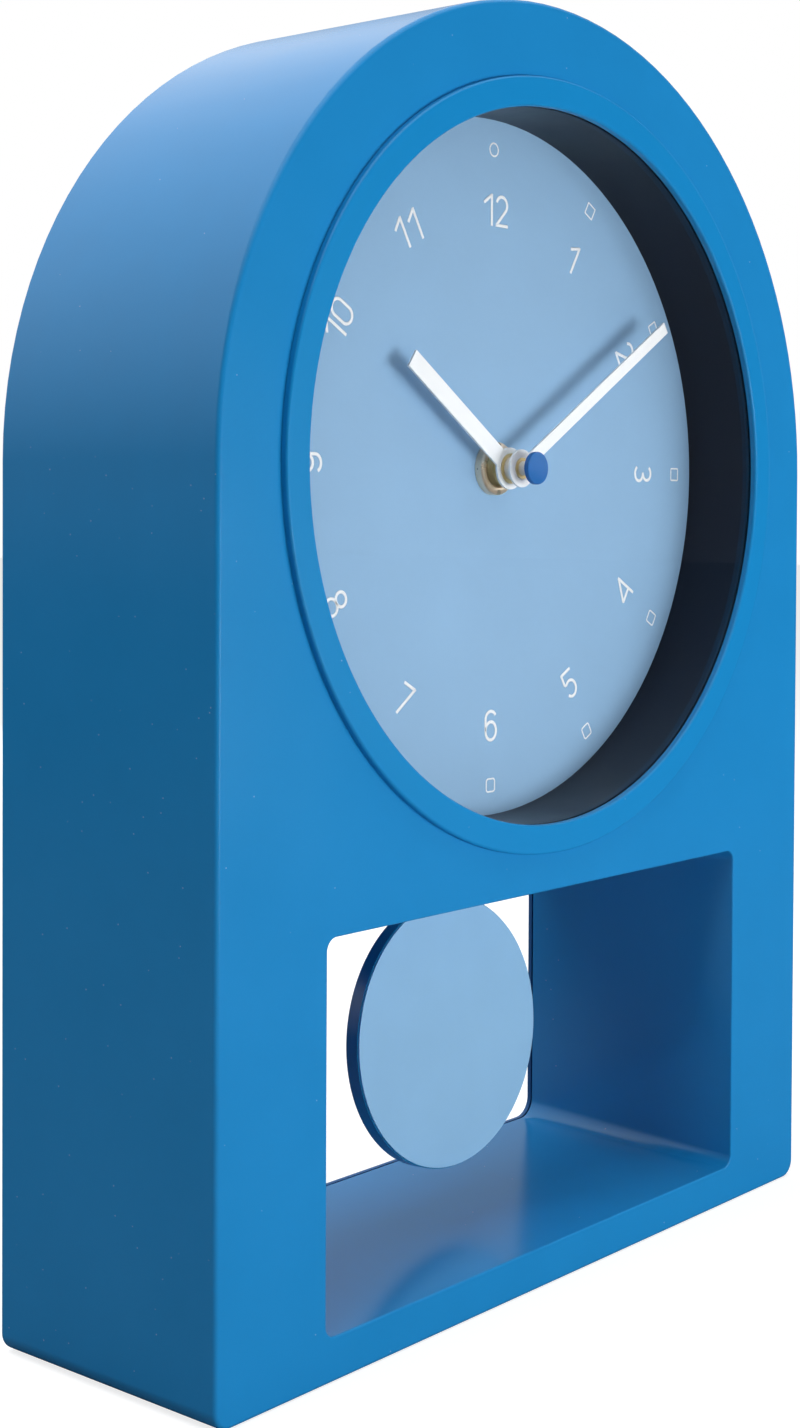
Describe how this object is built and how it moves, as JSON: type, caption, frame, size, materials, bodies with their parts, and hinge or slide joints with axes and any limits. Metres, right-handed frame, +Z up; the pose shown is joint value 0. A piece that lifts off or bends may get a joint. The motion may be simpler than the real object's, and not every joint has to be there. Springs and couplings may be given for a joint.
{
  "type": "desk pendulum clock",
  "caption": "Arch-topped desk clock with a deep round dial behind a lens above a rectangular window where a disc pendulum swings, set and powered from an opening in its back.",
  "frame": {"origin": "on the base plane, under the middle of the clock: midway across the case and midway between the bezel's front and the case's back edge", "axes": "+X to the right as seen from the front, +Y from the front to the back, +Z up"},
  "size_m": [0.2, 0.064, 0.2793],
  "materials": {
    "case_blue": "satin moulded",
    "panel_blue": "satin moulded",
    "bezel_blue": "semi-gloss moulded",
    "clear_lens": "clear",
    "black_rubber": "matt",
    "navy_plastic": "satin",
    "dial_blue": "matt lacquer",
    "steel": "zinc plated",
    "brass": "turned",
    "black_plastic": "moulded",
    "grey_plastic": "moulded",
    "acetal": "moulded",
    "hand_white": "matt lacquer",
    "cap_blue": "glossy",
    "magnet_grey": "sintered",
    "copper_wire": "enamelled winding",
    "board_green": "solder mask",
    "can_steel": "drawn can",
    "battery_wrap": "printed wrap",
    "bob_light_blue": "satin lacquer",
    "bob_navy": "glossy moulded"
  },
  "bodies": {
    "clock_case": {"case_shell": "case_blue", "back_panel": "panel_blue", "back_screws": "steel", "bezel_ring": "bezel_blue", "lens": "clear_lens", "lens_gasket": "black_rubber", "dial_shroud": "navy_plastic", "shroud_screws": "steel", "dial_plate": "dial_blue", "dial_screws": "steel", "dial_cushion": "black_rubber", "ring_nut": "brass", "bushing": "brass", "movement_front_case": "black_plastic", "movement_rear_case": "black_plastic", "train_plate": "grey_plastic", "stator": "steel", "coil_core": "steel", "clock_coil": "copper_wire", "circuit_board": "board_green", "control_chip": "black_plastic", "quartz_crystal": "can_steel", "battery": "battery_wrap", "positive_contact": "steel", "negative_contact": "steel", "drive_coil": "copper_wire", "hanger_pin": "steel"},
    "hour_group": {"hour_wheel": "brass", "hour_hand": "hand_white", "hour_collar": "brass"},
    "minute_group": {"minute_arbor": "brass", "minute_hand": "hand_white", "minute_collar": "brass"},
    "motion_group": {"motion_wheel": "acetal"},
    "setting_group": {"setting_arbor": "acetal", "setting_knob": "black_plastic"},
    "center_group": {"center_wheel": "acetal"},
    "third_group": {"third_wheel": "acetal"},
    "seconds_group": {"seconds_wheel": "acetal", "cap_stem": "brass", "center_cap": "cap_blue"},
    "step_group": {"step_wheel": "acetal"},
    "rotor_group": {"rotor": "magnet_grey"},
    "pendulum": {"pendulum_hanger": "acetal", "hanger_magnet": "magnet_grey", "pendulum_rod": "steel", "pendulum_bob": "bob_navy", "bob_face": "bob_light_blue", "rod_clip": "bob_navy"}
  },
  "joints": [
    {"name": "minute_hand_turn", "type": "hinge", "parent": "clock_case", "child": "minute_group", "pos_m": [0, -0.0185, 0.1793], "axis": [0, 1, 0], "continuous": true},
    {"name": "hour_hand_turn", "type": "hinge", "parent": "clock_case", "child": "hour_group", "pos_m": [0, -0.0165, 0.1793], "axis": [0, 1, 0], "continuous": true},
    {"name": "motion_wheel_turn", "type": "hinge", "parent": "clock_case", "child": "motion_group", "pos_m": [-0.008, -0.0057, 0.1793], "axis": [0, 1, 0], "continuous": true},
    {"name": "setting_knob_turn", "type": "hinge", "parent": "clock_case", "child": "setting_group", "pos_m": [-0.0164, 0.0075, 0.1793], "axis": [0, 1, 0], "continuous": true},
    {"name": "seconds_turn", "type": "hinge", "parent": "clock_case", "child": "seconds_group", "pos_m": [0, -0.0009, 0.1793], "axis": [0, 1, 0], "continuous": true},
    {"name": "rotor_turn", "type": "hinge", "parent": "clock_case", "child": "rotor_group", "pos_m": [-0.0035, 0.0021, 0.19256], "axis": [0, 1, 0], "continuous": true},
    {"name": "step_wheel_turn", "type": "hinge", "parent": "clock_case", "child": "step_group", "pos_m": [-0.0035, 0.0003, 0.18536], "axis": [0, 1, 0], "continuous": true},
    {"name": "third_wheel_turn", "type": "hinge", "parent": "clock_case", "child": "third_group", "pos_m": [0.01125, -0.0021, 0.1793], "axis": [0, 1, 0], "continuous": true},
    {"name": "center_wheel_turn", "type": "hinge", "parent": "clock_case", "child": "center_group", "pos_m": [0, -0.0045, 0.1793], "axis": [0, 1, 0], "continuous": true},
    {"name": "pendulum_swing", "type": "hinge", "parent": "clock_case", "child": "pendulum", "pos_m": [0, 0.0024, 0.1433], "axis": [0, 1, 0], "range_deg": [-12, 12]}
  ],
  "couplings": [
    {"joint": "hour_hand_turn", "follows": "minute_hand_turn", "ratio": 0.083333},
    {"joint": "motion_wheel_turn", "follows": "minute_hand_turn", "ratio": -0.33333},
    {"joint": "setting_knob_turn", "follows": "minute_hand_turn", "ratio": 0.83333},
    {"joint": "rotor_turn", "follows": "seconds_turn", "ratio": 30},
    {"joint": "step_wheel_turn", "follows": "seconds_turn", "ratio": -6},
    {"joint": "third_wheel_turn", "follows": "seconds_turn", "ratio": -0.13333},
    {"joint": "center_wheel_turn", "follows": "seconds_turn", "ratio": 0.016667}
  ]
}
